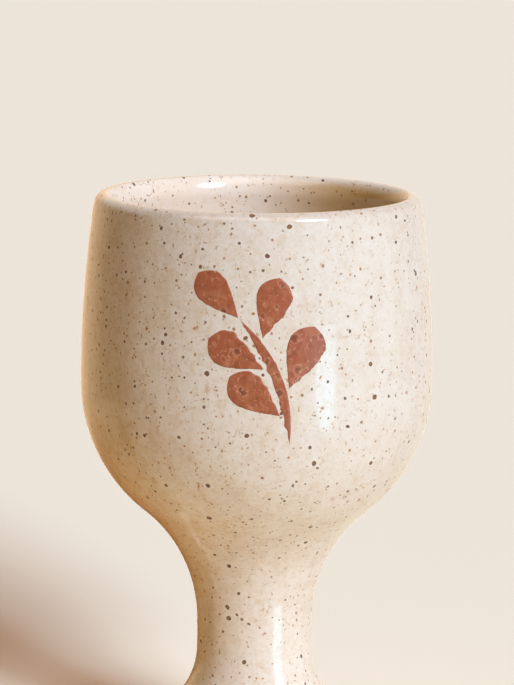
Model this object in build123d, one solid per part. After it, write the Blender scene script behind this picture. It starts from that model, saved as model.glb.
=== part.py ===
from build123d import *
from collections import namedtuple
from math import acos, asin, atan2, cos, hypot, pi, radians, sin, sqrt, tan
import os

# Stemmed stoneware goblet, thrown in two parts: a bowl and a hollow stem with a flared foot. The parts are
# scored, luted with slip, glazed inside and out, and brushed with a leafy sprig in iron pigment.
# Millimetres, +Z up, origin on the table under the middle of the foot. The sprig faces -Y.

# Bowl, sizes of the clay before glaze
BELLY_DIAMETER = 87.2  # widest part
BELLY_ARC = 41.0  # radius of the outline below the widest part
SIDE_HEIGHT = 44.8  # from the widest part up to the rounding of the lip
RIM_INSET = 3.4  # how far the side leans in over that height
COVE_ARC = 38.3  # radius of the hollow curve from the stem out under the bowl
WALL = 4.8
LIP_ROUND = 2.2  # outer rounding of the lip, less than the wall
LIP_CREST = 1.0  # tighter rounding just inside the crest
LIP_SLOPE = 40.0  # degrees that the lip faces up where its long inner slope begins
FLOOR_THICKNESS = 8.0  # clay between the joint and the inside of the bowl

# Stem and foot, sizes of the clay before glaze
STEM_DIAMETER = 28.2  # narrowest part
STEM_LENGTH = 6.5  # straight run at the narrowest part
STEM_WALL = 6.1
JOINT_DIAMETER = 37.0  # across the luted faces
FOOT_DIAMETER = 71.2
FOOT_COVE_ARC = 21.0
FOOT_SLOPE = 24.0  # degrees below level, from the cove out to the edge
FOOT_EDGE = 5.4  # height of the edge where the slope would meet it
FOOT_EDGE_ROUND = 2.4
FOOT_BASE_ROUND = 1.2
FOOT_RING = 6.0  # from the edge in to the hollow

# Luted joint: radial score marks in both faces, filled by the slip between them
SLIP_THICKNESS = 0.8
SCORE_COUNT = 24
SCORE_WIDTH = 0.8
SCORE_DEPTH = 0.6
SCORE_MARGIN = 2.5  # left unscored at each edge of the faces

# Coats
GLAZE_THICKNESS = 0.4
GLAZE_LINE = 2.4  # bare clay below this height
PIGMENT_THICKNESS = 0.2

# Sprig, seen from the front: x to the right, heights above the widest part of the bowl
STALK_FOOT = (8.0, -8.0)
STALK_TIP = (-4.0, 22.0)
STALK_BOW = 3.0  # how far the stalk bows to the right
STALK_WIDTH = 2.6
LEAF_LENGTH = 15.0
LEAF_WIDTH = 8.4
LEAF_GAP = 0.7  # bare glaze between the stalk and a leaf
# Each leaf: place along the stalk from 0 to 1, side (1 left, -1 right), degrees out from the stalk,
# and its growth, which its length and width are multiplied by
LEAVES = {
    "sprig_leaf_1": (0.22, 1, 42.0, 1.03),
    "sprig_leaf_2": (0.40, -1, 40.0, 1.06),
    "sprig_leaf_3": (0.60, 1, 36.0, 1.00),
    "sprig_leaf_4": (0.80, -1, 50.0, 0.99),
    "sprig_leaf_5": (1.00, 1, 0.0, 0.94),
}

# A stretch of outline in the plane of radius and height. The clay is inside a full arc and outside a hollow one.
Arc = namedtuple("Arc", "r z radius start end side")
FULL, HOLLOW = 1, -1


def at(arc, angle, lift=0.0):
    """Point on an arc, lifted that far off the clay."""
    reach = arc.radius + arc.side * lift
    return (arc.r + reach * cos(angle), arc.z + reach * sin(angle))


def run(arcs, lift=0.0, first=None):
    """Edges along the arcs, with straight runs where one arc ends short of the next."""
    edges = []
    last = first
    for arc in arcs:
        begin = at(arc, arc.start, lift)
        if last is not None and hypot(begin[0] - last[0], begin[1] - last[1]) > 1e-6:
            edges.append(Line(last, begin))
        last = at(arc, arc.end, lift)
        edges.append(ThreePointArc(begin, at(arc, (arc.start + arc.end) / 2, lift), last))
    return edges


def turned(edges):
    """Solid of revolution about the upright axis from a closed outline."""
    return revolve(Plane.XZ * make_face(edges), axis=Axis.Z)


def part_of(arc, start=None, end=None):
    """The same arc between other angles."""
    return arc._replace(start=arc.start if start is None else start, end=arc.end if end is None else end)


# Foot and stem
belly_r = BELLY_DIAMETER / 2
stem_r = STEM_DIAMETER / 2
foot_r = FOOT_DIAMETER / 2
slope = radians(FOOT_SLOPE)
sweep = pi / 2 - slope
cove_end_r = stem_r + FOOT_COVE_ARC * (1 - cos(sweep))
stem_z = FOOT_EDGE + (foot_r - cove_end_r) * tan(slope) + FOOT_COVE_ARC * sin(sweep)
waist_z = stem_z + STEM_LENGTH
base_round = Arc(foot_r - FOOT_BASE_ROUND, FOOT_BASE_ROUND, FOOT_BASE_ROUND, -pi / 2, 0.0, FULL)
edge_z = FOOT_EDGE - FOOT_EDGE_ROUND * (1 - sin(slope)) / cos(slope)
edge_round = Arc(foot_r - FOOT_EDGE_ROUND, edge_z, FOOT_EDGE_ROUND, 0.0, sweep, FULL)
foot_cove = Arc(stem_r + FOOT_COVE_ARC, stem_z, FOOT_COVE_ARC, pi + sweep, pi, HOLLOW)

# Outside of the bowl
swing = acos(1 - (belly_r - stem_r) / (BELLY_ARC + COVE_ARC))
belly_z = waist_z + (BELLY_ARC + COVE_ARC) * sin(swing)
cove = Arc(stem_r + COVE_ARC, waist_z, COVE_ARC, pi, pi - swing, HOLLOW)
belly = Arc(belly_r - BELLY_ARC, belly_z, BELLY_ARC, -swing, 0.0, FULL)
side_arc = (SIDE_HEIGHT**2 + RIM_INSET**2) / (2 * RIM_INSET)
lean = asin(SIDE_HEIGHT / side_arc)
side = Arc(belly_r - side_arc, belly_z, side_arc, 0.0, lean, FULL)

# Lip: the outer rounding meets the side, a tighter one turns over the crest, and a long slope runs into the wall
lip_r = side.r + (side_arc - LIP_ROUND) * cos(lean)
lip_z = side.z + (side_arc - LIP_ROUND) * sin(lean)
lip_outer = Arc(lip_r, lip_z, LIP_ROUND, lean, pi / 2, FULL)
crest_z = lip_z + LIP_ROUND
facing = pi - radians(LIP_SLOPE)
lip_crest = Arc(lip_r, crest_z - LIP_CREST, LIP_CREST, pi / 2, facing, FULL)
inner_arc = side_arc - WALL
across, up = lip_crest.r - side.r, lip_crest.z - side.z
touching = inner_arc + LIP_CREST
fuller = (across**2 + up**2 - touching**2) / (2 * (touching + across * cos(facing) + up * sin(facing)))
slope_r = lip_crest.r - fuller * cos(facing)
slope_z = lip_crest.z - fuller * sin(facing)
inner_lean = atan2(slope_z - side.z, slope_r - side.r)
lip_inner = Arc(slope_r, slope_z, LIP_CREST + fuller, facing, pi + inner_lean, FULL)

# Joint between stem and bowl
joint_r = JOINT_DIAMETER / 2
joint_z = waist_z + sqrt(COVE_ARC**2 - (cove.r - joint_r) ** 2)
seat_z = joint_z + SLIP_THICKNESS
joint_angle = pi - asin((joint_z - waist_z) / COVE_ARC)
seat_angle = pi - asin((seat_z - waist_z) / COVE_ARC)
bore_r = stem_r - STEM_WALL

# Inside of the bowl: the wall runs parallel to the side, then two arcs carry it round to the floor
floor_z = seat_z + FLOOR_THICKNESS
inner_r = belly_r - WALL
inner_depth = belly_z - floor_z
turn = pi / 4
share = 1 - cos(turn) - sin(turn)
wall_arc = (inner_r * (1 - sin(turn)) - inner_depth * cos(turn)) / share
floor_arc = (inner_depth * (1 - cos(turn)) - inner_r * sin(turn)) / share
inner_side = Arc(side.r, side.z, inner_arc, inner_lean, 0.0, HOLLOW)
inner_wall = Arc(inner_r - wall_arc, belly_z, wall_arc, 0.0, -turn, HOLLOW)
inner_floor = Arc(0.0, floor_z + floor_arc, floor_arc, -turn, -pi / 2, HOLLOW)

lip = [lip_outer, lip_crest, lip_inner]
outside = [edge_round, foot_cove, cove, belly, side, *lip]
inside = [inner_side, inner_wall, inner_floor]

# Slip: a ring between the faces with ribs that fill the score marks
joint_point = at(cove, joint_angle)
seat_point = at(cove, seat_angle)
slip_seam = turned(
    [
        Line((bore_r, joint_z), joint_point),
        *run([part_of(cove, joint_angle, seat_angle)]),
        Line(seat_point, (bore_r, seat_z)),
        Line((bore_r, seat_z), (bore_r, joint_z)),
    ]
)
rib_length = joint_r - bore_r - 2 * SCORE_MARGIN
rib = Box(rib_length, SCORE_WIDTH, SLIP_THICKNESS + 2 * SCORE_DEPTH)
rib_place = Pos(0, 0, (joint_z + seat_z) / 2)
half_pitch = 180 / SCORE_COUNT
ribs = rib_place * PolarLocations(bore_r + SCORE_MARGIN + rib_length / 2, SCORE_COUNT, half_pitch) * rib
slip_seam = slip_seam + ribs

bowl = turned(
    [
        *run([part_of(cove, seat_angle), belly, side, *lip, *inside]),
        Line((0, floor_z), (0, seat_z)),
        Line((0, seat_z), seat_point),
    ]
)
bowl = bowl - slip_seam

# Hollow of the stem: a straight bore that flares like a bell to the foot ring
ring_r = foot_r - FOOT_RING
flare_out = ring_r - bore_r
flare_arc = (flare_out**2 + stem_z**2) / (2 * flare_out)
flare = Arc(bore_r + flare_arc, stem_z, flare_arc, pi, pi + asin(stem_z / flare_arc), HOLLOW)
stem = turned(
    [
        *run([base_round, edge_round, foot_cove, part_of(cove, end=joint_angle)]),
        Line(joint_point, (bore_r, joint_z)),
        Line((bore_r, joint_z), (bore_r, stem_z)),
        *run([flare]),
        Line((ring_r, 0), (foot_r - FOOT_BASE_ROUND, 0)),
    ]
)
stem = stem - slip_seam

# Glaze: an outer coat from the glaze line over the lip, and a liner that meets it just inside
glazed_r = foot_r + GLAZE_THICKNESS
outer_glaze = turned(
    [
        *run(outside, 0.0, (foot_r, GLAZE_LINE)),
        Line(at(lip_inner, lip_inner.end), at(lip_inner, lip_inner.end, GLAZE_THICKNESS)),
        *run(outside, GLAZE_THICKNESS, (glazed_r, GLAZE_LINE)),
        Line((foot_r, GLAZE_LINE), (glazed_r, GLAZE_LINE)),
    ]
)
liner_glaze = turned(
    [
        *run(inside),
        Line((0, floor_z), (0, floor_z + GLAZE_THICKNESS)),
        *run(inside, GLAZE_THICKNESS),
        Line(at(inner_side, inner_side.start), at(inner_side, inner_side.start, GLAZE_THICKNESS)),
    ]
)

# Sprig: strokes cut from a thin coat over the glaze
coat_top = GLAZE_THICKNESS + PIGMENT_THICKNESS
coat = turned(
    [
        *run([belly, side], GLAZE_THICKNESS),
        Line(at(side, lean, GLAZE_THICKNESS), at(side, lean, coat_top)),
        *run([belly, side], coat_top),
        Line(at(belly, -swing, GLAZE_THICKNESS), at(belly, -swing, coat_top)),
    ]
)


def painted(outline):
    """Patch of pigment on the front of the bowl inside a closed outline, heights from the widest part."""
    return coat & extrude(Plane.XZ * (Pos(0, belly_z) * make_face(outline)), amount=BELLY_DIAMETER)


def bowed(start, end, bow):
    """Arc from start to end that bows that far to the right of the line between them."""
    line = Vector(*end) - Vector(*start)
    return ThreePointArc(start, Vector(*start) + line / 2 + line.rotate(Axis.Z, -90).normalized() * bow, end)


def leaf(root, heading, length, width):
    """Outline of one press of a brush: slender at the root, widest past the middle, blunt at the tip."""
    outline = []
    for hand in (1, -1):
        aside = heading.rotate(Axis.Z, 90 * hand) * width
        near = root + heading * length * 0.40 + aside * 0.35
        far = root + heading * length * 0.82 + aside * 0.94
        outline.append(Bezier(root, near, far, root + heading * length))
    return outline


stalk_line = bowed(STALK_FOOT, STALK_TIP, STALK_BOW)
stalk = [
    bowed(STALK_FOOT, STALK_TIP, STALK_BOW + STALK_WIDTH / 2),
    bowed(STALK_FOOT, STALK_TIP, STALK_BOW - STALK_WIDTH / 2),
]
pieces = {
    "bowl": bowl,
    "stem": stem,
    "slip_seam": slip_seam,
    "outer_glaze": outer_glaze,
    "liner_glaze": liner_glaze,
    "sprig_stalk": painted(stalk),
}
for name, (place, hand, out, growth) in LEAVES.items():
    along = stalk_line.tangent_at(place)
    # The stalk tapers to nothing at both ends, and a leaf at its tip carries on past it
    half_stalk = 2 * STALK_WIDTH * place * (1 - place)
    away = along if out == 0 else along.rotate(Axis.Z, 90 * hand)
    root = stalk_line.position_at(place) + away * (half_stalk + LEAF_GAP)
    heading = along.rotate(Axis.Z, out * hand)
    pieces[name] = painted(leaf(root, heading, LEAF_LENGTH * growth, LEAF_WIDTH * growth))

os.makedirs("parts", exist_ok=True)
for name, shape in pieces.items():
    export_step(shape, f"parts/{name}.step")
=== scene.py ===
from bisect import bisect
from math import atan2, ceil, cos, hypot, pi, radians, sin

import bmesh
import bpy
from bpy.props import FloatProperty, FloatVectorProperty, IntProperty, PointerProperty
from mathutils import Matrix, Vector, noise
from mathutils.bvhtree import BVHTree
from mathutils.geometry import interpolate_bezier


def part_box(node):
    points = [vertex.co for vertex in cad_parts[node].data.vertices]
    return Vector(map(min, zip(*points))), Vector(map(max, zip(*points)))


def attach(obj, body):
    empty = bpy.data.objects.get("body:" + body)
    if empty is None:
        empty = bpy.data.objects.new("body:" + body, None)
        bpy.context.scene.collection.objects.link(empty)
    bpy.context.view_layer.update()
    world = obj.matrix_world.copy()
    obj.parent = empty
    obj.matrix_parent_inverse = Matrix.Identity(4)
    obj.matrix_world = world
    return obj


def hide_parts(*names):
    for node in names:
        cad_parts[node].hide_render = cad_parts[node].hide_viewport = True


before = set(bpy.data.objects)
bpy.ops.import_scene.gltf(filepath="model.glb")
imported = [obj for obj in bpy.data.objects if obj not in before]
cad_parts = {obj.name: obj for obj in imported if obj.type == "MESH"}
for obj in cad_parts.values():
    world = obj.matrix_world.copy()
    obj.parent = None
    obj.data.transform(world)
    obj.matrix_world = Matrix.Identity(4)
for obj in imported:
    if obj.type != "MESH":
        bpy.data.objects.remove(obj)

bl_info = {
    "name": "Stemmed stoneware goblet",
    "version": (1, 0, 0),
    "blender": (4, 5, 0),
    "location": "View3D > Sidebar > Goblet",
    "description": "Dresses a thrown goblet in speckled glaze and brushwork and sets it on a plain floor",
    "category": "Object",
}

MM = 0.001
WELD = 1e-6  # points nearer than this are one point
CORNER = radians(12)  # a sharper turn ends a smooth run of an outline
SECTORS = 16  # a turned sheet is made as a sector and copied round
FINEST_TURN = radians(2.5)  # most that a seen outline turns from one ring to the next
HOLLOW_REACH = 12 * MM  # of the stem, only the hollow comes nearer to the axis
RIDGE_SWAY = 2.2  # radians that a ridge strays from its spiral
RIDGE_SWAY_WIDTH = 22 * MM
SENSOR_HEIGHT = 36  # of the camera, in millimetres
UP = Vector((0, 0, 1))

# Cards of light, as rows: how far out, half the width, degrees right of the camera, and how high
CARD_LIFT = 2 * MM  # where a row says nothing else
FLOOR_CARD = ((1.70, 0.150, 43.5), (0.57, 0.052, 42.5), (0.27, 0.050, 37.5), (0.16, 0.030, 36.0))
BOWL_STRIP = (
    (2.20, 0.270, 44.5),
    (0.76, 0.090, 44.1),
    (0.50, 0.056, 43.7),
    (0.30, 0.028, 43.1),
    (0.25, 0.010, 43.1),
)
STEM_CARD = ((48 * MM, 6 * MM, 43.5, 40 * MM), (80 * MM, 12 * MM, 42.5, 1 * MM))

# The card over the lip, and the mirrored surroundings
LIP_CARD_SIDES = (-0.6, 0.35)
LIP_CARD_ROWS = (-0.15, -0.7)
LIP_CARD_HEIGHT = 0.8
WALL_BEARINGS = range(-225, -74, 10)  # degrees right of the camera
WALL_RADIUS = 0.5
WALL_HEIGHT = 0.3
SKIRT_RADIUS = 0.05  # where the mirrored floor begins

# Heights and widths that the packed pieces give
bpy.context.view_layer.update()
glaze_low, glaze_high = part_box("outer_glaze")
liner_low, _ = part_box("liner_glaze")
CREST = glaze_high.z
GLAZE_LINE = glaze_low.z
BOWL_FLOOR = liner_low.z
crest_point = max((vert.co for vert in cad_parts["outer_glaze"].data.vertices), key=lambda co: co.z)
LIP_RADIUS = crest_point.xy.length  # to the crest of the lip


def size(name, description, default):
    """A length that can be changed, in millimetres here."""
    return FloatProperty(
        name=name, description=description, default=default * MM, min=0.0, precision=5, unit="LENGTH"
    )


def colour(name, description, default):
    """A colour that can be changed."""
    return FloatVectorProperty(
        name=name, description=description, default=default, size=3, min=0.0, max=1.0, subtype="COLOR"
    )


def brightness(name, description, default):
    """The strength of a light that can be changed."""
    return FloatProperty(name=name, description=description, default=default, min=0.0)


def turn_angle(name, description, default):
    """An angle that can be changed, in degrees here."""
    return FloatProperty(name=name, description=description, default=radians(default), subtype="ANGLE")


class ThrowingSettings(bpy.types.PropertyGroup):
    """How far the thrown shape departs from a perfectly turned one."""

    steps: IntProperty(name="Steps", description="Faces around the goblet", default=144, min=24)
    spacing: size("Ring spacing", "Distance between rings of the seen surfaces", 0.6)
    rim_sway: size("Rim sway", "How far the rim is out of round", 0.16)
    rim_dip: size("Rim dip", "How far the rim dips between its high points", 0.10)
    dent_depth: size("Dent depth", "Depth of the soft unevenness of the wall", 0.07)
    dent_size: size("Dent size", "Width of that unevenness", 21.0)
    ridge_depth: size("Ridge depth", "Depth of the finger ridges on the outside", 0.014)
    inner_ridge_depth: size("Inner ridge depth", "Depth of the finger ridges inside", 0.06)
    ridge_pitch: size("Ridge pitch", "Rise of the finger ridges in one turn", 4.2)
    hem_wave: size("Hem wave", "How far the lower edge of the glaze wanders up", 0.9)
    hem_width: size("Hem wave width", "Width of those waves", 9.0)
    hem_reach: size("Hem reach", "How far up the coat follows its lower edge", 6.0)
    hem_round: size("Hem rounding", "Rounding of the lower edge of the glaze", 0.16)


class GlazeSettings(bpy.types.PropertyGroup):
    """Colours and sizes of the speckled glaze."""

    cream: colour("Cream", "Where the glaze is thick", (0.82, 0.765, 0.695))
    cloud: colour("Cloud", "Warmer clouds in the glaze", (0.71, 0.59, 0.45))
    # Painted light: the liner colours are a lighter copy of the outer glaze, standing in for light that the
    # inside of the bowl lacks
    painted_light_liner_cream: colour("Liner cream", "The glaze inside the bowl, where it is thick", (0.97, 0.945, 0.87))
    painted_light_liner_cloud: colour("Liner cloud", "Warmer clouds in the glaze inside", (0.93, 0.86, 0.73))
    # Painted shade: a darker, warmer glaze on the +X side inside the bowl and on the inner lip, where the
    # inside lies in shade
    painted_inner_shade: colour("Flash", "The glaze inside on the side that the flame toasted", (0.58, 0.335, 0.075))
    thread: colour("Thread", "Faint curled threads and strings of dots", (0.52, 0.30, 0.14))
    tan_speck: colour("Tan speck", "Specks deep in the glaze", (0.40, 0.175, 0.030))
    dark_speck: colour("Dark speck", "Specks at the surface", (0.115, 0.037, 0.003))
    ochre: colour("Ochre", "Thin glaze along the lip and above the bare foot", (0.66, 0.44, 0.24))
    fine_cell: size("Fine speck spacing", "Mean spacing of the fine specks", 1.55)
    fine_speck: size("Fine speck", "Largest radius of the fine specks", 0.38)
    medium_cell: size("Medium speck spacing", "Mean spacing of the medium specks", 2.35)
    medium_speck: size("Medium speck", "Largest radius of the medium specks", 0.53)
    large_cell: size("Large speck spacing", "Mean spacing of the large specks", 5.0)
    large_speck: size("Large speck", "Largest radius of the large specks", 0.78)
    lip_line: size("Lip line", "Depth of the ochre line below the crest of the lip", 0.30)
    gloss: FloatProperty(
        name="Roughness",
        description="Roughness of the clean glaze",
        default=0.11,
        min=0.0,
        max=1.0,
        subtype="FACTOR",
    )


class ClaySettings(bpy.types.PropertyGroup):
    """Colours of the bare clay and of the slip."""

    body: colour("Clay", "Bare toasted stoneware", (0.44, 0.28, 0.165))
    toast: colour("Toast", "Redder clay beside the glaze", (0.36, 0.19, 0.095))
    grog: colour("Grog", "Pale grains in the clay", (0.60, 0.47, 0.33))
    slip: colour("Slip", "Fired slip in the joint", (0.40, 0.27, 0.17))


class SprigSettings(bpy.types.PropertyGroup):
    """Colours and sizes of the brushed sprig."""

    red: colour("Iron red", "Iron pigment at its usual thickness", (0.345, 0.088, 0.032))
    pooled: colour("Pooled", "Dark spots where the pigment pooled", (0.14, 0.036, 0.015))
    thin: colour("Thin", "Where the pigment was brushed thin", (0.46, 0.165, 0.078))
    fleck: colour("Fleck", "Short pale flecks and rings in the pigment", (0.66, 0.33, 0.20))
    body: size("Body", "Height of a stroke above the glaze at its middle", 0.13)
    edge: size("Edge", "Height of a stroke above the glaze at its edge", 0.03)
    sunk: size("Sunk", "Depth of a stroke in the glaze", 0.10)
    ragged: size("Ragged", "Depth of the scallops along a stroke's loose edge", 0.42)
    scallop: size("Scallop", "Length of one scallop", 1.5)
    spacing: size("Spacing", "Mean distance between rows of faces along a stroke", 0.16)
    rows: IntProperty(name="Rows", description="Faces across a stroke", default=28, min=4)


class StageSettings(bpy.types.PropertyGroup):
    """Floor, light and camera."""

    pale: colour("Pale", "Colour of the room behind the floor, as seen", (0.843, 0.776, 0.695))
    floor: colour("Floor", "Colour of the floor in light", (0.90, 0.90, 0.90))
    glow: colour("Glow", "Light that the floor keeps in the shade, as seen", (0.225, 0.070, 0.0))
    bounce: colour("Bounce", "Colour of the light that the floor gives back", (0.38, 0.25, 0.15))
    ember: colour("Ember", "Warm light from the floor around the foot", (0.69, 0.36, 0.062))
    sheen: colour("Sheen", "Light from the floor on the window's side", (0.69, 0.55, 0.41))
    room: colour("Room", "Warm light from the room", (0.04, 0.03, 0.02))
    ceiling: colour("Ceiling", "Colour of the light from above", (1.0, 0.87, 0.74))
    key: colour("Key", "Colour of the window light", (0.944, 0.911, 1.0))
    fill: colour("Fill", "Colour of the light from behind", (1.0, 0.74, 0.45))
    low: colour("Low light", "Colour of the low light on the floor", (0.86, 1.0, 0.995))
    card: colour("Card", "Colour of the bright cards", (0.42, 0.78, 1.0))
    dusk: colour("Dusk", "Mirrored at the side away from the window", (0.18, 0.04, 0.0))
    gold: colour("Gold", "Mirrored behind, on the side away from the window", (0.87, 0.585, 0.35))
    day: colour("Day", "Mirrored behind, on the window's side", (0.77, 0.70, 0.58))
    key_strength: brightness("Key strength", "Window light. Pi shows colours as they are", 0.84 * pi)
    fill_strength: brightness("Fill strength", "Light from behind", 0.36 * pi)
    ceiling_strength: brightness("Ceiling strength", "Light from above", 0.18 * pi)
    low_strength: brightness("Low strength", "Each low light on the floor", 0.618 * pi)
    card_strength: brightness("Card strength", "Light of the card on the floor", 5.2)
    stem_strength: brightness("Stem card strength", "Light of the card by the stem", 2.6)
    strip_strength: brightness("Strip strength", "Mirrored strips of light", 6.6)
    lip_strength: brightness("Lip strength", "Mirrored light over the front lip", 3.6)
    wall_strength: brightness("Wall strength", "Mirrored surroundings", 1.3)
    key_bearing: turn_angle("Key bearing", "Right of the camera", 41.5)
    key_height: turn_angle("Key height", "Above the floor", 34)
    fill_bearing: turn_angle("Fill bearing", "Right of the camera", -154)
    fill_height: turn_angle("Fill height", "Above the floor", 28)
    low_bearing: turn_angle("Low bearing", "Right of the camera", 36)
    low_spread: turn_angle("Low spread", "From one low light to the next", 9)
    low_height: turn_angle("Low height", "Above the floor", 24)
    key_width: turn_angle("Key width", "How wide the window light is", 20)
    fill_width: turn_angle("Fill width", "How wide the light from behind is", 40)
    ceiling_width: turn_angle("Ceiling width", "How wide the light from above is", 120)
    low_width: turn_angle("Low width", "How wide each low light is", 11)
    floor_radius: size("Floor radius", "Radius of the round floor", 4000.0)
    distance: size("Camera distance", "From the camera to the point it looks at", 900.0)
    aim_height: size("Aim height", "Height of the point that the camera looks at", 106.23)
    aim_right: size("Aim right", "How far right of the axis the camera looks", 0.05)
    elevation: turn_angle("Elevation", "How far the camera looks down", 9.59)
    roll: turn_angle("Roll", "How far the camera leans", 0.51)
    lens: FloatProperty(
        name="Lens", description="Focal length for a 36 mm high picture", default=189.1, unit="CAMERA"
    )


# Outlines of the turned pieces


def walked(edges):
    """Vertices of joined edges in order, and whether they close into a loop."""
    links = {}
    for edge in edges:
        for vert in edge.verts:
            links.setdefault(vert, []).append(edge)
    ends = [vert for vert, found in links.items() if len(found) == 1]
    chain = [ends[0] if ends else edges[0].verts[0]]
    last = None
    while True:
        onward = [edge for edge in links[chain[-1]] if edge != last]
        if not onward:
            return chain, False
        last = onward[0]
        vert = last.other_vert(chain[-1])
        if vert == chain[0]:
            return chain, True
        chain.append(vert)


def welded(node):
    """Copy of a packed piece with its loose triangles joined."""
    bm = bmesh.new()
    bm.from_mesh(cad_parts[node].data)
    bmesh.ops.remove_doubles(bm, verts=bm.verts, dist=WELD)
    return bm


def section(node):
    """Half section of a turned piece on the +X side, as runs of points from one sharp corner to the next."""
    bm = welded(node)
    everything = [*bm.verts, *bm.edges, *bm.faces]
    bmesh.ops.bisect_plane(bm, geom=everything, dist=WELD, plane_no=(0, 1, 0), clear_outer=True)
    cut = [edge for edge in bm.edges if edge.is_boundary and min(vert.co.x for vert in edge.verts) > -WELD]
    chain, closed = walked(cut)
    points = [Vector((max(vert.co.x, 0.0), 0.0, vert.co.z)) for vert in chain]
    bm.free()

    def is_corner(index):
        here = points[index]
        onward = points[(index + 1) % len(points)] - here
        return (here - points[index - 1]).angle(onward) > CORNER

    if closed:
        start = next(index for index in range(len(points)) if is_corner(index))
        points = points[start:] + points[: start + 1]
    inner_corners = [index for index in range(1, len(points) - 1) if is_corner(index)]
    corners = [0, *inner_corners, len(points) - 1]
    return [points[first : last + 1] for first, last in zip(corners, corners[1:])]


def smoothed(run, spacing):
    """A smooth curve through the run's points, with steps up to the spacing and up to the finest turn."""
    chords = [after - before for before, after in zip(run, run[1:])]
    headings = []
    for before, after in zip(chords, chords[1:]):
        heading = before.normalized() * after.length + after.normalized() * before.length
        headings.append(heading.normalized())
    if not headings:
        headings = [chords[0].normalized()]
    first, last = chords[0].normalized(), chords[-1].normalized()
    headings.insert(0, 2 * first.dot(headings[0]) * first - headings[0])
    headings.append(2 * last.dot(headings[-1]) * last - headings[-1])
    points = [run[0]]
    for begin, end, out, into in zip(run, run[1:], headings, headings[1:]):
        reach = (end - begin).length
        steps = max(ceil(reach / spacing), ceil(out.angle(into) / FINEST_TURN))
        handles = begin + out * reach / 3, end - into * reach / 3
        points += interpolate_bezier(begin, *handles, end, steps + 1)[1:]
    return points


def turned(bm, points, steps):
    """Turns the points about the upright axis into a sheet, and returns its vertices."""
    older = set(bm.verts)

    def added():
        return [vert for vert in bm.verts if vert not in older]

    verts = [bm.verts.new(point) for point in points]
    edges = [bm.edges.new(pair) for pair in zip(verts, verts[1:])]
    sector = 2 * pi / SECTORS
    bmesh.ops.spin(bm, geom=verts + edges, axis=(0, 0, 1), angle=sector, steps=steps // SECTORS)
    parts = dict.fromkeys(part for vert in added() for part in (vert, *vert.link_edges, *vert.link_faces))
    rest = 2 * pi - sector
    bmesh.ops.spin(bm, geom=list(parts), axis=(0, 0, 1), angle=rest, steps=SECTORS - 1, use_duplicate=True)
    bmesh.ops.remove_doubles(bm, verts=added(), dist=WELD)
    return added()


def eased(low, high, value):
    """0 up to low, 1 from high on, and a soft rise between them."""
    rise = min(max((value - low) / (high - low), 0.0), 1.0)
    return rise * rise * (3 - 2 * rise)


# Shape that hands gave the clay


def rim_shift(co, throwing):
    """How far a point near the rim lies from its turned place: a little out of round, and dipping."""
    angle = atan2(co.y, co.x)
    out = throwing.rim_sway * (0.7 * cos(2 * angle + 0.6) + 0.3 * cos(3 * angle - 1.1))
    out *= eased((BOWL_FLOOR + CREST) / 2, CREST, co.z)
    dip = throwing.rim_dip * (0.5 + 0.3 * cos(2 * angle - 0.8) + 0.2 * cos(5 * angle))
    dip *= eased(CREST - 25 * MM, CREST - 4 * MM, co.z)
    return Vector((cos(angle) * out, sin(angle) * out, -dip))


def ridges(co, pitch):
    """Share of a spiral ridge's depth at a point, from 0 on the ridge to 1 in the groove."""
    angle = atan2(co.y, co.x)
    rise = (co.z + hypot(co.x, co.y)) / pitch
    sway = noise.noise(co / RIDGE_SWAY_WIDTH) * RIDGE_SWAY
    return 0.5 - 0.5 * cos(2 * pi * rise + angle + sway)


def dents(co, width):
    """Share of the soft unevenness at a point, from 0 to 1."""
    return 0.5 + 0.5 * noise.noise(co / width)


def press(verts, facing, depth_at, shift_at):
    """Presses a turned sheet into its hand-made shape. Facing is 1 if it faces away from the axis."""
    widest = max(verts, key=lambda vert: hypot(vert.co.x, vert.co.y))
    sign = facing if widest.normal.dot(Vector((widest.co.x, widest.co.y, 0))) > 0 else -facing
    moves = [shift_at(vert.co) - sign * depth_at(vert.co) * vert.normal for vert in verts]
    for vert, move in zip(verts, moves):
        vert.co += move


def lip_fade(co):
    """1 on the wall and 0 on the lip, where the two coats meet."""
    return 1 - eased(CREST - 18 * MM, CREST - 7 * MM, co.z)


def coat(node, facing, ridge_depth, hem):
    """A coat of glaze as a seen and a hidden sheet, and its open edges. Hem lifts its lower end."""
    throwing = bpy.context.scene.goblet_throwing
    runs = sorted(section(node), key=len)[-2:]
    hidden, seen = sorted(runs, key=lambda run: facing * max(point.x for point in run))

    def depth(co):
        ridge = ridge_depth * ridges(co, throwing.ridge_pitch)
        return lip_fade(co) * (ridge + throwing.dent_depth * dents(co, throwing.dent_size))

    bm = bmesh.new()
    sheet = turned(bm, smoothed(seen, throwing.spacing), throwing.steps)
    bm.normal_update()
    press(sheet, facing, depth, lambda co: rim_shift(co, throwing) + UP * hem(co))
    for vert in turned(bm, smoothed(hidden, 4 * throwing.spacing), throwing.steps):
        vert.co.z += hem(vert.co)
    return bm, [edge for edge in bm.edges if edge.is_boundary]


def bridge(bm, edges):
    """Closes the gap between two open edges, which stay sharp."""
    bmesh.ops.bridge_loops(bm, edges=edges)
    for edge in edges:
        edge.smooth = False


# Finishing


def placed(name, data):
    """A new object in the scene."""
    made = bpy.data.objects.new(name, data)
    bpy.context.scene.collection.objects.link(made)
    return made


def shaped(name, bm, finish):
    """A new object with that mesh and material."""
    mesh = bpy.data.meshes.new(name)
    bm.to_mesh(mesh)
    bm.free()
    mesh.materials.append(finish)
    return placed(name, mesh)


def finished(name, bm, finish, slot, *nodes):
    """Makes the mesh an object that rides on the goblet and stands for the packed pieces."""
    bmesh.ops.recalc_face_normals(bm, faces=bm.faces)
    if any(not edge.is_manifold for edge in bm.edges):
        raise RuntimeError(f"{name} isn't closed")
    for face in bm.faces:
        face.smooth = True
    piece = shaped(name, bm, finish)
    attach(piece, "root")
    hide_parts(*nodes)


# Materials


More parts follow.
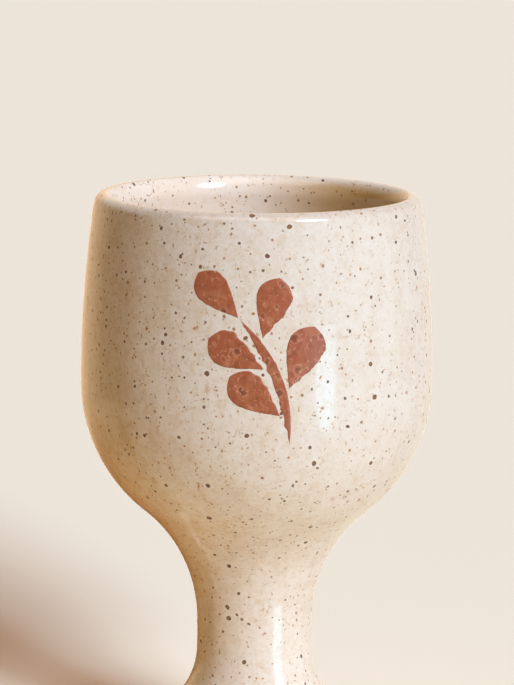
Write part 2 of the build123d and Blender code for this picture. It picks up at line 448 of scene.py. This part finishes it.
class Value:
    """An output of a shader node. Arithmetic on values adds Math nodes."""

    def __init__(self, nodes, socket):
        self.nodes = nodes
        self.socket = socket

    def math(self, operation, *values):
        return self.nodes.add("ShaderNodeMath", {"operation": operation}, dict(enumerate(values)))

    def __add__(self, other):
        return self.math("ADD", self, other)

    def __sub__(self, other):
        return self.math("SUBTRACT", self, other)

    def __rsub__(self, other):
        return self.math("SUBTRACT", other, self)

    def __mul__(self, other):
        return self.math("MULTIPLY", self, other)

    def __truediv__(self, other):
        return self.math("DIVIDE", self, other)

    def __rtruediv__(self, other):
        return self.math("DIVIDE", other, self)

    def __abs__(self):
        return self.math("ABSOLUTE", self)

    __radd__ = __add__
    __rmul__ = __mul__

    def also(self, output):
        """Another output of the same node."""
        return Value(self.nodes, self.socket.node.outputs[output])


class Nodes:
    """A tree of shader nodes, and the one way to add to it. Places are in millimetres."""

    def __init__(self, tree):
        self.tree = tree
        tree.nodes.clear()

    def add(self, kind, settings, sockets, output=0):
        """Adds a node. Sockets go by name or number. Returns one of its outputs, if it has any."""
        node = self.tree.nodes.new(kind)
        for name, value in settings.items():
            setattr(node, name, value)
        for name, value in sockets.items():
            if isinstance(value, Value):
                self.tree.links.new(value.socket, node.inputs[name])
            else:
                node.inputs[name].default_value = value
        return Value(self, node.outputs[output]) if node.outputs else None

    def place(self):
        """Place on the piece, in millimetres."""
        own = self.add("ShaderNodeTexCoord", {}, {}, "Object")
        return self.stretched(own, (1 / MM,) * 3)

    def vector(self, operation, *vectors):
        """Vector maths."""
        return self.add("ShaderNodeVectorMath", {"operation": operation}, dict(enumerate(vectors)))

    def part(self, vector, axis):
        """One of a vector's three numbers."""
        return self.add("ShaderNodeSeparateXYZ", {}, {"Vector": vector}, axis)

    def radius(self, place):
        """Distance of a place from the upright axis."""
        return self.vector("LENGTH", self.stretched(place, (1.0, 1.0, 0.0))).also("Value")

    def moved(self, place, shift):
        """The place shifted, so that two patterns of one size don't agree."""
        return self.vector("ADD", place, shift)

    def stretched(self, place, scales):
        """The place with its three numbers scaled."""
        return self.vector("MULTIPLY", place, scales)

    def noise(self, place, width, detail=2.0, roughness=0.5):
        """Soft noise around 0.5 with features about that wide."""
        sockets = {"Vector": place, "Scale": 1 / width, "Detail": detail, "Roughness": roughness}
        return self.add("ShaderNodeTexNoise", {}, sockets)

    def warped(self, place, width, reach):
        """The place pushed about by noise, so that round things on it turn irregular."""
        push = self.noise(place, width, 1.0).also("Color")
        push = self.vector("MULTIPLY_ADD", push, (reach,) * 3, (-reach / 2,) * 3)
        return self.vector("ADD", place, push)

    def rise(self, value, low, high):
        """0 to 1 as the value goes softly from low to high. High may be the smaller."""
        settings = {"interpolation_type": "SMOOTHSTEP"}
        return self.add("ShaderNodeMapRange", settings, {"Value": value, "From Min": low, "From Max": high})

    def mix(self, first, second, factor):
        """A colour from first to second."""
        first, second = (tone if isinstance(tone, Value) else (*tone, 1.0) for tone in (first, second))
        return self.add("ShaderNodeMix", {"data_type": "RGBA"}, {0: factor, 6: first, 7: second}, 2)

    def specks(self, place, cell, radius, core):
        """Grains through the clay: their mask, distance from the nearest in its radii, and its two chances.

        The mask is 1 in the core, which is a share of the radius, and fades to 0 at the radius.
        """
        grain = self.add("ShaderNodeTexVoronoi", {}, {"Vector": place, "Scale": 1 / cell}, "Distance")
        chance = self.add("ShaderNodeSeparateColor", {}, {"Color": grain.also("Color")}, "Red")
        grown = chance * (0.6 * radius) + 0.4 * radius
        away = grain * cell / grown
        return self.rise(away, 1.0, core), away, chance, chance.also("Green")

    def bump(self, height):
        """Normals of a surface with that height, in millimetres."""
        return self.add("ShaderNodeBump", {}, {"Strength": 1.0, "Distance": MM, "Height": height})

    def surface(self, tone, roughness, others):
        """A glossy or matte surface as the material's output."""
        sockets = {"Base Color": tone, "Roughness": roughness, **others}
        shader = self.add("ShaderNodeBsdfPrincipled", {}, sockets)
        self.add("ShaderNodeOutputMaterial", {}, {"Surface": shader})


def material(name):
    """A new material and its empty tree of nodes."""
    made = bpy.data.materials.new(name)
    made.use_nodes = True
    return made, Nodes(made.node_tree)


def once(name, make, *choices):
    """The material of that name, made the first time it is asked for."""
    return bpy.data.materials.get(name) or make(name, *choices)


def glaze_ground(nodes, place, patchy, lines_bowl):
    """The glaze without its marks: its cream, its tone with clouds in it, and its mottling."""
    glaze = bpy.context.scene.goblet_glaze

    # The liner's colours, a lighter copy of the glaze as painted light, which run up over the lip, and a
    # painted shade on its +X side, which stays inside
    inside, below = 1.0, 1.0
    if not lines_bowl:
        near_lip = nodes.rise(nodes.part(place, "Z"), CREST / MM - 14, CREST / MM - 10)
        reach = nodes.radius(place) - LIP_RADIUS / MM
        inside = near_lip * nodes.rise(reach, 2.0, -1.0)
        below = near_lip * nodes.rise(reach, -0.8, -2.4)
    # Painted shade on the +X side inside the bowl, reaching up onto the inner lip
    toasted = nodes.rise(nodes.part(place, "X"), -6.0, 26.0) * below * 0.88
    cream = nodes.mix(nodes.mix(glaze.cream, glaze.painted_light_liner_cream, inside), glaze.painted_inner_shade, toasted)
    cloud = nodes.mix(nodes.mix(glaze.cloud, glaze.painted_light_liner_cloud, inside), glaze.painted_inner_shade, toasted)

    # Clouds, runs, mottling and curls
    clouds = nodes.rise(nodes.noise(place, 17.0, 3.0, 0.55), 0.44, 0.70)
    runs = nodes.rise(nodes.noise(nodes.stretched(place, (1.0, 1.0, 0.16)), 4.5, 2.0), 0.50, 0.72)
    mottle = nodes.rise(nodes.noise(nodes.moved(place, (31.0, 7.0, 3.0)), 2.3, 3.0, 0.6), 0.42, 0.68)
    haze = nodes.rise(nodes.noise(place, 0.55, 2.0), 0.35, 0.70)
    swirl = nodes.warped(nodes.moved(place, (3.0, 44.0, 8.0)), 2.2, 2.4)
    curl = nodes.rise(nodes.noise(swirl, 0.95, 2.0), 0.42, 0.64)
    drifts = clouds * 0.34 + runs * 0.24 + mottle * 0.38 + haze * 0.22 + curl * 0.26
    return cream, nodes.mix(cream, cloud, drifts * patchy), mottle


def threaded(nodes, place, patchy, tone):
    """The tone with curled threads, strings of dots, dashes, freckles and smudges in it."""

    # Threads: short thin stretches of the contour lines of a soft noise
    contour = abs(nodes.noise(nodes.warped(place, 1.6, 0.8), 3.6, 1.0) - 0.5)
    here = nodes.rise(nodes.noise(nodes.moved(place, (5.0, 90.0, 40.0)), 5.0, 1.0), 0.54, 0.62)
    broken = nodes.rise(nodes.noise(nodes.moved(place, (70.0, 2.0, 9.0)), 1.5, 1.0), 0.46, 0.58)
    threads = nodes.rise(contour, 0.016, 0.004) * here * broken * patchy * 0.82

    # Strings of dots along other contour lines, and upright dashes
    path = abs(nodes.noise(nodes.moved(place, (12.0, 55.0, 81.0)), 8.0, 0.0) - 0.5)
    dots, *_ = nodes.specks(nodes.moved(place, (3.3, 1.7, 8.1)), 0.85, 0.26, 0.5)
    there = nodes.rise(nodes.noise(nodes.moved(place, (8.0, 33.0, 70.0)), 7.0, 1.0), 0.46, 0.54)
    strings = nodes.rise(path, 0.026, 0.012) * dots * there * patchy * 0.82
    wavy = nodes.moved(nodes.warped(place, 1.2, 0.5), (1.0, 6.0, 2.0))
    dash, _, dash_chance, _ = nodes.specks(nodes.stretched(wavy, (1.0, 1.0, 0.35)), 1.9, 0.32, 0.4)
    dashes = dash * dash_chance * patchy * 0.9

    # Freckles and smudges under the surface
    freckle, _, freckle_chance, _ = nodes.specks(nodes.warped(place, 1.0, 0.6), 2.6, 0.60, 0.2)
    smudge, _, smudge_chance, _ = nodes.specks(nodes.warped(place, 1.8, 1.6), 11.0, 1.5, 0.3)
    for mark in (threads, strings, dashes, freckle * freckle_chance * 0.42, smudge * smudge_chance * 0.45):
        tone = nodes.mix(tone, bpy.context.scene.goblet_glaze.thread, mark)
    return tone


def speckled_glaze(name, lines_bowl):
    """Cream glaze over iron-bearing clay: clouds, curled threads, strings of dots and specks."""
    glaze = bpy.context.scene.goblet_glaze
    made, nodes = material(name)
    place = nodes.place()
    height = nodes.part(place, "Z")

    # Clouds and small marks are stronger on the -X side
    patchy = nodes.rise(nodes.part(place, "X"), 30.0, -30.0) * 0.5 + 0.75
    cream, tone, mottle = glaze_ground(nodes, place, patchy, lines_bowl)
    tone = threaded(nodes, place, patchy, tone)

    # Specks of three sizes. The large ones have a clear ring around them
    rough = nodes.warped(place, 0.9, 0.34)
    fine, _, fine_chance, fine_depth = nodes.specks(rough, glaze.fine_cell / MM, glaze.fine_speck / MM, 0.45)
    medium, medium_away, _, medium_depth = nodes.specks(
        nodes.moved(rough, (17.0, 4.0, 29.0)), glaze.medium_cell / MM, glaze.medium_speck / MM, 0.62
    )
    rougher = nodes.moved(nodes.warped(place, 1.4, 0.7), (41.0, 23.0, 11.0))
    large, large_away, _, large_depth = nodes.specks(
        rougher, glaze.large_cell / MM, glaze.large_speck / MM, 0.78
    )
    tone = nodes.mix(tone, cream, nodes.rise(large_away, 2.4, 1.1) * 0.5)
    fine_tone = nodes.mix(glaze.tan_speck, glaze.dark_speck, nodes.rise(fine_depth, 0.65, 1.0))
    tone = nodes.mix(tone, fine_tone, fine * patchy * (fine_chance * 0.55 + 0.35))
    medium_tone = nodes.mix(glaze.tan_speck, glaze.dark_speck, nodes.rise(medium_depth, 0.35, 0.8))
    tone = nodes.mix(tone, medium_tone, medium * 0.88)
    heart = nodes.rise(large_away, 0.75, 0.2) * large_depth
    large_tone = nodes.mix(glaze.dark_speck, glaze.tan_speck, heart * 0.7)
    tone = nodes.mix(tone, large_tone, large * 0.95)

    # Thin glaze: an ochre line along the lip, and toast above the bare foot
    uneven = nodes.noise(nodes.moved(place, (2.0, 61.0, 5.0)), 3.0, 2.0)
    lip_low = (CREST - 1.6 * glaze.lip_line) / MM + 0.12
    lip = nodes.rise(height + uneven * 0.25, lip_low, CREST / MM + 0.10)
    tone = nodes.mix(tone, glaze.ochre, lip * 0.15)
    hem = nodes.rise(height - uneven * 1.6, GLAZE_LINE / MM + 1.6, GLAZE_LINE / MM - 0.2)
    tone = nodes.mix(tone, glaze.ochre, hem * 0.85)

    # Pits at the specks, and the soft unevenness of the gloss
    pitted = nodes.rise(medium_away, 1.1, 0.5) * 0.010 + nodes.rise(large_away, 1.1, 0.5) * 0.025
    peel = nodes.noise(place, 1.5, 1.0) * 0.005 + nodes.noise(place, 6.0, 1.0) * 0.014
    roughness = mottle * 0.04 + medium * 0.15 + large * 0.22 + hem * 0.2 + glaze.gloss
    nodes.surface(tone, roughness, {"IOR": 1.45, "Normal": nodes.bump(peel - pitted)})
    return made


def bare_clay(name):
    """Toasted stoneware with grains of grog and fine turning lines."""
    clay = bpy.context.scene.goblet_clay
    made, nodes = material(name)
    place = nodes.place()
    height = nodes.part(place, "Z")
    mottle = nodes.rise(nodes.noise(place, 6.0, 4.0, 0.6), 0.38, 0.66)
    grain = nodes.noise(place, 0.35, 2.0)
    tone = nodes.mix(clay.body, clay.toast, mottle * 0.45 + nodes.rise(grain, 0.4, 0.75) * 0.25)
    blush = nodes.rise(height + nodes.noise(place, 4.0) * 1.5, 1.0, 3.2)
    tone = nodes.mix(tone, clay.toast, blush * 0.6)
    pale, *_ = nodes.specks(nodes.warped(place, 0.6, 0.3), 1.5, 0.26, 0.6)
    tone = nodes.mix(tone, clay.grog, pale * 0.7)
    dark, *_ = nodes.specks(nodes.moved(nodes.warped(place, 0.8, 0.4), (9.0, 3.0, 6.0)), 2.4, 0.36, 0.6)
    tone = nodes.mix(tone, bpy.context.scene.goblet_glaze.dark_speck, dark * 0.75)
    turns = (nodes.radius(place) + height) * 9.0 + nodes.noise(place, 5.0) * 6.0
    lines = turns.math("SINE", turns)
    relief = lines * 0.010 + grain * 0.05 + pale * 0.02 - dark * 0.02
    nodes.surface(tone, grain * 0.2 + 0.72, {"Normal": nodes.bump(relief)})
    return made


def fired_slip(name):
    """Plain fired slip, a little darker and smoother than the clay."""
    made, nodes = material(name)
    place = nodes.place()
    cloud = nodes.noise(place, 2.0, 3.0)
    clay = bpy.context.scene.goblet_clay
    tone = nodes.mix(clay.slip, clay.toast, nodes.rise(cloud, 0.4, 0.7) * 0.4)
    nodes.surface(tone, cloud * 0.2 + 0.7, {"Normal": nodes.bump(nodes.noise(place, 0.4) * 0.04)})
    return made


def brushed_iron(name):
    """Iron red under a satin skin: dark spots where it pooled, paler brush streaks, small pale pits."""
    sprig = bpy.context.scene.goblet_sprig
    made, nodes = material(name)
    place = nodes.place()
    streaks = nodes.noise(nodes.stretched(nodes.warped(place, 3.0, 1.5), (1.0, 1.0, 0.35)), 0.9, 3.0, 0.6)
    wash = nodes.noise(nodes.moved(place, (4.0, 8.0, 15.0)), 3.2, 2.0)
    worn = nodes.rise(streaks, 0.46, 0.72) * 0.5 + nodes.rise(wash, 0.48, 0.66) * 0.4
    tone = nodes.mix(sprig.red, sprig.thin, worn)
    murk = nodes.rise(nodes.noise(nodes.moved(place, (22.0, 8.0, 5.0)), 1.7, 3.0, 0.6), 0.50, 0.68)
    spots, spot_away, spot_chance, _ = nodes.specks(nodes.warped(place, 1.2, 1.1), 3.3, 1.35, 0.40)
    kept = nodes.rise(spot_chance, 0.10, 0.45)
    pooled = spots * kept
    tone = nodes.mix(tone, sprig.pooled, pooled * 0.78 + murk * 0.42)
    ring = nodes.rise(abs(spot_away - 1.05), 0.20, 0.05) * kept
    contour = abs(nodes.noise(nodes.warped(nodes.moved(place, (1.0, 7.0, 30.0)), 1.4, 0.8), 2.4, 1.0) - 0.5)
    broken = nodes.rise(nodes.noise(nodes.moved(place, (50.0, 2.0, 9.0)), 1.3, 1.0), 0.50, 0.60)
    fleck = nodes.rise(contour, 0.022, 0.008) * broken
    tone = nodes.mix(tone, sprig.fleck, ring * 0.30 + fleck * 0.60)
    pit, *_ = nodes.specks(nodes.moved(nodes.warped(place, 0.5, 0.4), (6.0, 2.0, 8.0)), 1.9, 0.20, 0.5)
    tone = nodes.mix(tone, bpy.context.scene.goblet_glaze.cloud, pit * 0.45)
    relief = streaks * 0.05 - pit * 0.03 - pooled * 0.02
    nodes.surface(tone, streaks * 0.16 + pooled * 0.08 + 0.30, {"Normal": nodes.bump(relief)})
    return made


# Coats and clay


class GOBLET_OT_outer_glaze(bpy.types.Operator):
    """Coats the outside of the goblet and its lip with speckled glaze"""

    bl_idname = "goblet.outer_glaze"
    bl_label = "Outer glaze"

    def execute(self, context):
        throwing = context.scene.goblet_throwing

        def hem(co):
            wander = dents(Vector((co.x, co.y, 0)), throwing.hem_width)
            fade = 1 - eased(GLAZE_LINE, GLAZE_LINE + throwing.hem_reach, co.z)
            return throwing.hem_wave * wander * fade

        bm, edges = coat("outer_glaze", 1, throwing.ridge_depth, hem)
        high = [edge for edge in edges if edge.verts[0].co.z > BOWL_FLOOR]
        low = [edge for edge in edges if edge.verts[0].co.z < BOWL_FLOOR]
        bridge(bm, high)
        bridge(bm, low)

        # The outer one of the two lower edges is rounded
        reaches = [edge.verts[0].co.xy.length for edge in low]
        between = (min(reaches) + max(reaches)) / 2
        rolled = [edge for edge, reach in zip(low, reaches) if reach > between]
        bmesh.ops.bevel(
            bm, geom=rolled, offset=throwing.hem_round, segments=3, profile=0.5, affect="EDGES", material=-1
        )
        finish = once("speckled_glaze", speckled_glaze, False)
        finished("outer_glaze_coat", bm, finish, "glaze", "outer_glaze")
        return {"FINISHED"}


class GOBLET_OT_liner_glaze(bpy.types.Operator):
    """Coats the inside of the bowl with the same glaze, up to the lip, in lighter colours that paint in
    light and with painted shade on its +X side
    """

    bl_idname = "goblet.liner_glaze"
    bl_label = "Liner glaze"

    def execute(self, context):
        ridge_depth = context.scene.goblet_throwing.inner_ridge_depth
        bm, edges = coat("liner_glaze", -1, ridge_depth, lambda co: 0.0)
        bridge(bm, edges)
        finish = once("liner_glaze_inside", speckled_glaze, True)
        finished("liner_glaze_coat", bm, finish, "glaze", "liner_glaze")
        return {"FINISHED"}


class GOBLET_OT_clay(bpy.types.Operator):
    """Throws the stem and foot with ridges in their hollow, and gives the hidden pieces clay and slip"""

    bl_idname = "goblet.clay"
    bl_label = "Clay"

    def execute(self, context):
        throwing = context.scene.goblet_throwing
        runs = section("stem")
        inner = [run for run in runs if min(point.x for point in run) < HOLLOW_REACH]
        hollow = max(inner, key=lambda run: (run[0] - run[-1]).length)

        def depth(co):
            """Ridges from above the foot's face to below the joint."""
            fade = eased(0.0, 4 * MM, co.z) * (1 - eased(30 * MM, 50 * MM, co.z))
            return fade * 2.5 * throwing.inner_ridge_depth * ridges(co, throwing.ridge_pitch)

        bm = bmesh.new()
        for run in runs:
            spacing = throwing.spacing if run is hollow else 2 * throwing.spacing
            sheet = turned(bm, smoothed(run, spacing), throwing.steps)
            if run is hollow:
                bm.normal_update()
                press(sheet, -1, depth, lambda co: Vector())
        bmesh.ops.remove_doubles(bm, verts=bm.verts, dist=WELD)
        for vert in bm.verts:
            vert.co.z = max(vert.co.z, 0.0)
        clay = once("bare_clay", bare_clay)
        finished("stem_clay", bm, clay, "stoneware", "stem")
        for node, finish in (("bowl", clay), ("slip_seam", once("fired_slip", fired_slip))):
            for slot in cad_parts[node].material_slots:
                slot.material = finish
        return {"FINISHED"}


# Brushwork


def stroke_outline(node):
    """A brush stroke seen from the front: its root, its way to the tip, the direction aside and its edges.

    An edge is a list of pairs: share of the way, and offset aside.
    """
    bm = welded(node)
    bm.normal_update()
    front = {face for face in bm.faces if face.normal.y < -0.5}
    rim = [edge for edge in bm.edges if len(front.intersection(edge.link_faces)) == 1]
    points = [Vector((vert.co.x, vert.co.z)) for vert in walked(rim)[0]]
    bm.free()
    pairs = [(i, j) for i in range(len(points)) for j in range(i)]
    high, low = max(pairs, key=lambda pair: (points[pair[0]] - points[pair[1]]).length)
    edges = [points[low : high + 1], (points[high:] + points[: low + 1])[::-1]]
    root = points[low]
    way = points[high] - root
    aside = Vector((-way.y, way.x)).normalized()

    def measured(edge):
        return [((point - root).dot(way) / way.length_squared, (point - root).dot(aside)) for point in edge]

    edges = [measured(edge) for edge in edges]
    widths = [abs(offset_at(edges[0], at) - offset_at(edges[1], at)) for at in (0.15, 0.85)]
    if widths[0] > 1.2 * widths[1]:
        root, way, aside = points[high], -way, -aside
        edges = [[(1 - at, -offset) for at, offset in edge[::-1]] for edge in edges]
    edges.sort(key=lambda edge: offset_at(edge, 0.5))
    return root, way, aside, edges


def offset_at(edge, at):
    """Sideways offset of a stroke's edge at that share of the way from root to tip."""
    index = min(max(bisect(edge, (at,)), 1), len(edge) - 1)
    (before, low), (after, high) = edge[index - 1], edge[index]
    return low + (high - low) * (at - before) / max(after - before, 1e-9)


class GOBLET_OT_sprig(bpy.types.Operator):
    """Brushes the stalk and the leaves of the sprig onto the outer glaze"""

    bl_idname = "goblet.sprig"
    bl_label = "Sprig"

    def execute(self, context):
        sprig = context.scene.goblet_sprig
        bm = bmesh.new()
        bm.from_mesh(bpy.data.objects["outer_glaze_coat"].data)
        glaze = BVHTree.FromBMesh(bm)
        bm.free()
        nodes = sorted(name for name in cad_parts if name.startswith("sprig_"))
        for number, node in enumerate(nodes):
            seed = 7.3 * number + 1.9
            self.brush(node, seed, glaze, sprig)
        return {"FINISHED"}

    def brush(self, node, seed, glaze, sprig):
        """One stroke, laid on the glaze where the packed one is."""
        root, way, aside, edges = stroke_outline(node)
        long = way.length
        bm = bmesh.new()
        bmesh.ops.create_grid(bm, x_segments=ceil(long / sprig.spacing), y_segments=sprig.rows, size=1.0)
        ends = [[vert for vert in bm.verts if vert.co.x * end > 1 - WELD] for end in (-1, 1)]
        lifts = {}
        for vert in bm.verts:
            along = 0.5 - 0.5 * cos(pi * (vert.co.x + 1) / 2)
            across = (vert.co.y + 1) / 2
            fade = min(1.0, 6 * along, 6 * (1 - along))
            sides = []
            for edge, ragged, side in zip(edges, (1.0, 0.35), (-1, 1)):
                scallop = noise.noise(Vector((along * long / sprig.scallop, seed, side)))
                finer = noise.noise(Vector((along * long / (0.4 * sprig.scallop), seed, side + 5)))
                wander = side * sprig.ragged * ragged * fade * (scallop + 0.4 * finer)
                sides.append(offset_at(edge, along) + wander)
            spot = root + way * along + aside * (sides[0] + (sides[1] - sides[0]) * across)
            hit, normal, _, _ = glaze.ray_cast(Vector((spot.x, -1, spot.y)), Vector((0, 1, 0)))
            if hit is None:
                raise RuntimeError(f"{node} misses the glaze")
            crown = max(1 - (2 * across - 1) ** 4, 0.0) * min(1.0, 9 * along, 9 * (1 - along))
            bristles = noise.noise(Vector((along * long / (5 * MM), across * 9, seed)))
            height = sprig.edge + (sprig.body - sprig.edge) * crown * (0.85 + 0.3 * bristles)
            lifts[vert] = hit, normal * height
        for vert, (hit, lift) in lifts.items():
            vert.co = hit + lift
        for verts in ends:
            middle = sum((vert.co for vert in verts), Vector()) / len(verts)
            bmesh.ops.pointmerge(bm, verts=verts, merge_co=middle)
        under = bmesh.ops.extrude_face_region(bm, geom=bm.faces[:])["geom"]
        under = [part for part in under if isinstance(part, bmesh.types.BMVert)]
        bmesh.ops.translate(bm, verts=under, vec=(0, sprig.body + sprig.sunk, 0))
        finished(f"{node}_stroke", bm, once("brushed_iron", brushed_iron), "iron_pigment", node)


# Floor, light and camera


def aimed(bearing, height):
    """Unit vector towards a light: bearing to the right of the camera, height above the floor."""
    return Vector((sin(bearing) * cos(height), -cos(bearing) * cos(height), sin(height)))


def seen_by_eye(nodes):
    """1 for rays from the camera and in mirrors or glass, 0 for light that spreads."""
    path = nodes.add("ShaderNodeLightPath", {}, {}, "Is Camera Ray")
    seen = path + path.also("Is Glossy Ray") + path.also("Is Transmission Ray")
    return seen.math("MINIMUM", seen, 1.0)


class GOBLET_OT_stage(bpy.types.Operator):
    """Sets the goblet on a pale floor in soft light, with a camera in front of it"""

    bl_idname = "goblet.stage"
    bl_label = "Stage"

    def execute(self, context):
        stage = context.scene.goblet_stage
        floor = self.lay_floor(stage)
        self.fill_room(context.scene, stage)
        off_floor = self.receivers("off_floor", floor, "EXCLUDE")
        self.hang_cards(stage, off_floor)
        on_floor = self.receivers("on_floor", floor, "INCLUDE")
        self.hang_sun("window_light", "key", aimed(stage.key_bearing, stage.key_height), off_floor)
        back = self.hang_sun("back_light", "fill", aimed(stage.fill_bearing, stage.fill_height), off_floor)
        above = self.hang_sun("ceiling_light", "ceiling", UP, off_floor)
        back.visible_glossy = above.visible_glossy = False
        for step in (-1, 0, 1):
            low_way = aimed(stage.low_bearing + step * stage.low_spread, stage.low_height)
            self.hang_sun(f"low_light_{step + 2}", "low", low_way, on_floor)
        self.set_camera(context.scene, stage)
        context.scene.view_settings.view_transform = "Standard"
        return {"FINISHED"}

    def lay_floor(self, stage):
        """A round floor that glows in the shade, and sends the goblet warm light from around its foot."""
        bm = bmesh.new()
        bmesh.ops.create_circle(bm, cap_ends=True, segments=96, radius=stage.floor_radius)
        made, nodes = material("floor_paper")
        seen = seen_by_eye(nodes)
        place = nodes.place()
        window_side = nodes.vector("DOT_PRODUCT", place, aimed(stage.key_bearing, 0.0)).also("Value")
        ember = nodes.mix(stage.ember, stage.sheen, nodes.rise(window_side, -40.0, 100.0))
        ember = nodes.mix((0.0, 0.0, 0.0), ember, nodes.rise(nodes.radius(place), 400.0, 80.0) * 0.7 + 0.3)
        glow = {"Emission Color": nodes.mix(ember, stage.glow, seen), "Emission Strength": 1.0}
        tone = nodes.mix(stage.bounce, stage.floor, seen)
        nodes.surface(tone, 1.0, {"Specular IOR Level": 0.0, **glow})
        floor = shaped("floor", bm, made)
        return floor

    def receivers(self, name, floor, state):
        """What a lamp or card lights: the floor alone, or all but the floor."""
        group = bpy.data.collections.new(name)
        group.objects.link(floor)
        group.collection_objects[0].light_linking.link_state = state
        return group

    def fill_room(self, scene, stage):
        scene.world = bpy.data.worlds.new("room")
        scene.world.use_nodes = True
        nodes = Nodes(scene.world.node_tree)
        tone = nodes.mix(stage.room, stage.pale, seen_by_eye(nodes))
        light = nodes.add("ShaderNodeBackground", {}, {"Color": tone})
        nodes.add("ShaderNodeOutputWorld", {}, {"Surface": light})

    def hang_cards(self, stage, receivers):
        """Cards out of the camera's sight: two give light, and the rest are what the glaze mirrors."""

        def laid(outward, half_width, bearing, height=CARD_LIFT):
            turn = Matrix.Rotation(radians(bearing), 3, "Z")
            return [turn @ Vector((side * half_width, -outward, height)) for side in (-1, 1)]

        def around(nodes):
            """Dusk by the foot, gold further out and behind, and day on the window's side."""
            place = nodes.place()
            outward = nodes.radius(place)
            aside, behind = (nodes.part(place, axis) / outward for axis in "XY")
            near = nodes.mix(stage.dusk, stage.gold, nodes.rise(outward, 170.0, 340.0) * 0.8)
            far = nodes.mix(stage.dusk, stage.gold, nodes.rise(behind, 0.22, 0.78))
            tone = nodes.mix(near, far, nodes.rise(outward, 400.0, 495.0))
            tone = nodes.mix(tone, stage.day, nodes.rise(aside, -0.10, 0.20))
            return nodes.mix(tone, stage.day, nodes.rise(behind, 0.0, -0.25))

        lit, strip, lean = ([laid(*row) for row in card] for card in (FLOOR_CARD, BOWL_STRIP, STEM_CARD))
        over = [[Vector((aside, row, LIP_CARD_HEIGHT)) for aside in LIP_CARD_SIDES] for row in LIP_CARD_ROWS]
        ways = [aimed(radians(bearing), 0.0) for bearing in WALL_BEARINGS]
        wall = [(way * WALL_RADIUS, way * WALL_RADIUS + UP * WALL_HEIGHT) for way in ways]
        lift = UP * CARD_LIFT
        skirt = [(way * SKIRT_RADIUS + lift, way * WALL_RADIUS + lift) for way in ways]
        self.hang_card("floor_card", lit, stage.card, stage.card_strength, receivers)
        self.hang_card("stem_card", lean, stage.card, stage.stem_strength, receivers)
        self.hang_card("bowl_strip", strip, stage.card, stage.strip_strength)
        self.hang_card("stem_strip", lean, stage.card, stage.strip_strength)
        self.hang_card("lip_strip", over, stage.ceiling, stage.lip_strength)
        self.hang_card("wall_around", wall, around, stage.wall_strength)
        self.hang_card("floor_around", skirt, around, stage.wall_strength)

    def hang_card(self, name, rows, tone, strength, receivers=None):
        """A card through rows of two points, bright on one side. It lights the receivers, or is mirrored.

        Its tone is a colour, or a function that adds nodes for one.
        """
        bm = bmesh.new()
        bmesh.ops.create_grid(bm, x_segments=1, y_segments=len(rows) - 1, size=1.0)
        for vert in bm.verts:
            row = rows[round((vert.co.y + 1) / 2 * (len(rows) - 1))]
            vert.co = row[vert.co.x > 0]
        made, nodes = material(name)
        tone = tone(nodes) if callable(tone) else (*tone, 1.0)
        light = nodes.add("ShaderNodeEmission", {}, {"Color": tone, "Strength": strength})
        clear = nodes.add("ShaderNodeBsdfTransparent", {}, {})
        away = nodes.add("ShaderNodeNewGeometry", {}, {}, "Backfacing")
        shader = nodes.add("ShaderNodeMixShader", {}, {0: away, 1: light, 2: clear})
        nodes.add("ShaderNodeOutputMaterial", {}, {"Surface": shader})
        card = shaped(name, bm, made)
        card.visible_camera = card.visible_shadow = False
        card.visible_diffuse = bool(receivers)
        card.visible_glossy = not receivers
        if receivers:
            card.light_linking.receiver_collection = receivers

    def hang_sun(self, name, kind, way, receivers):
        """A lamp far off that way, with the colour, strength and width that are set for its kind."""
        stage = bpy.context.scene.goblet_stage
        lamp = bpy.data.lights.new(name, "SUN")
        lamp.color = getattr(stage, kind)
        lamp.energy = getattr(stage, f"{kind}_strength")
        lamp.angle = getattr(stage, f"{kind}_width")
        sun = placed(name, lamp)
        sun.rotation_euler = way.to_track_quat("Z", "Y").to_euler()
        sun.light_linking.receiver_collection = receivers
        return sun

    def set_camera(self, scene, stage):
        view = bpy.data.cameras.new("camera")
        view.sensor_fit = "VERTICAL"
        view.sensor_height = SENSOR_HEIGHT
        view.lens = stage.lens
        back = aimed(0.0, stage.elevation)
        spot = Vector((stage.aim_right, 0, stage.aim_height)) + back * stage.distance
        facing = back.to_track_quat("Z", "Y").to_matrix().to_4x4()
        scene.camera = placed("camera", view)
        scene.camera.matrix_world = Matrix.Translation(spot) @ facing @ Matrix.Rotation(stage.roll, 4, "Z")


class GOBLET_PT_panel(bpy.types.Panel):
    """Goblet"""

    bl_idname = "GOBLET_PT_panel"
    bl_label = "Goblet"
    bl_space_type = "VIEW_3D"
    bl_region_type = "UI"
    bl_category = "Goblet"

    def draw(self, context):
        for operator in OPERATORS:
            self.layout.operator(operator.bl_idname)
        for name, group in SETTINGS.items():
            box = self.layout.box()
            box.label(text=group.__doc__)
            for prop in group.__annotations__:
                box.prop(getattr(context.scene, name), prop)


SETTINGS = {
    "goblet_throwing": ThrowingSettings,
    "goblet_glaze": GlazeSettings,
    "goblet_clay": ClaySettings,
    "goblet_sprig": SprigSettings,
    "goblet_stage": StageSettings,
}
OPERATORS = (
    GOBLET_OT_outer_glaze,
    GOBLET_OT_liner_glaze,
    GOBLET_OT_clay,
    GOBLET_OT_sprig,
    GOBLET_OT_stage,
)


def register():
    for name, group in SETTINGS.items():
        bpy.utils.register_class(group)
        setattr(bpy.types.Scene, name, PointerProperty(type=group))
    for made in (*OPERATORS, GOBLET_PT_panel):
        bpy.utils.register_class(made)


def unregister():
    for made in (GOBLET_PT_panel, *reversed(OPERATORS)):
        bpy.utils.unregister_class(made)
    for name, group in reversed(SETTINGS.items()):
        delattr(bpy.types.Scene, name)
        bpy.utils.unregister_class(group)


def main():
    register()
    bpy.ops.goblet.outer_glaze()
    bpy.ops.goblet.liner_glaze()
    bpy.ops.goblet.clay()
    bpy.ops.goblet.sprig()
    bpy.ops.goblet.stage()


if __name__ == "__main__":
    main()
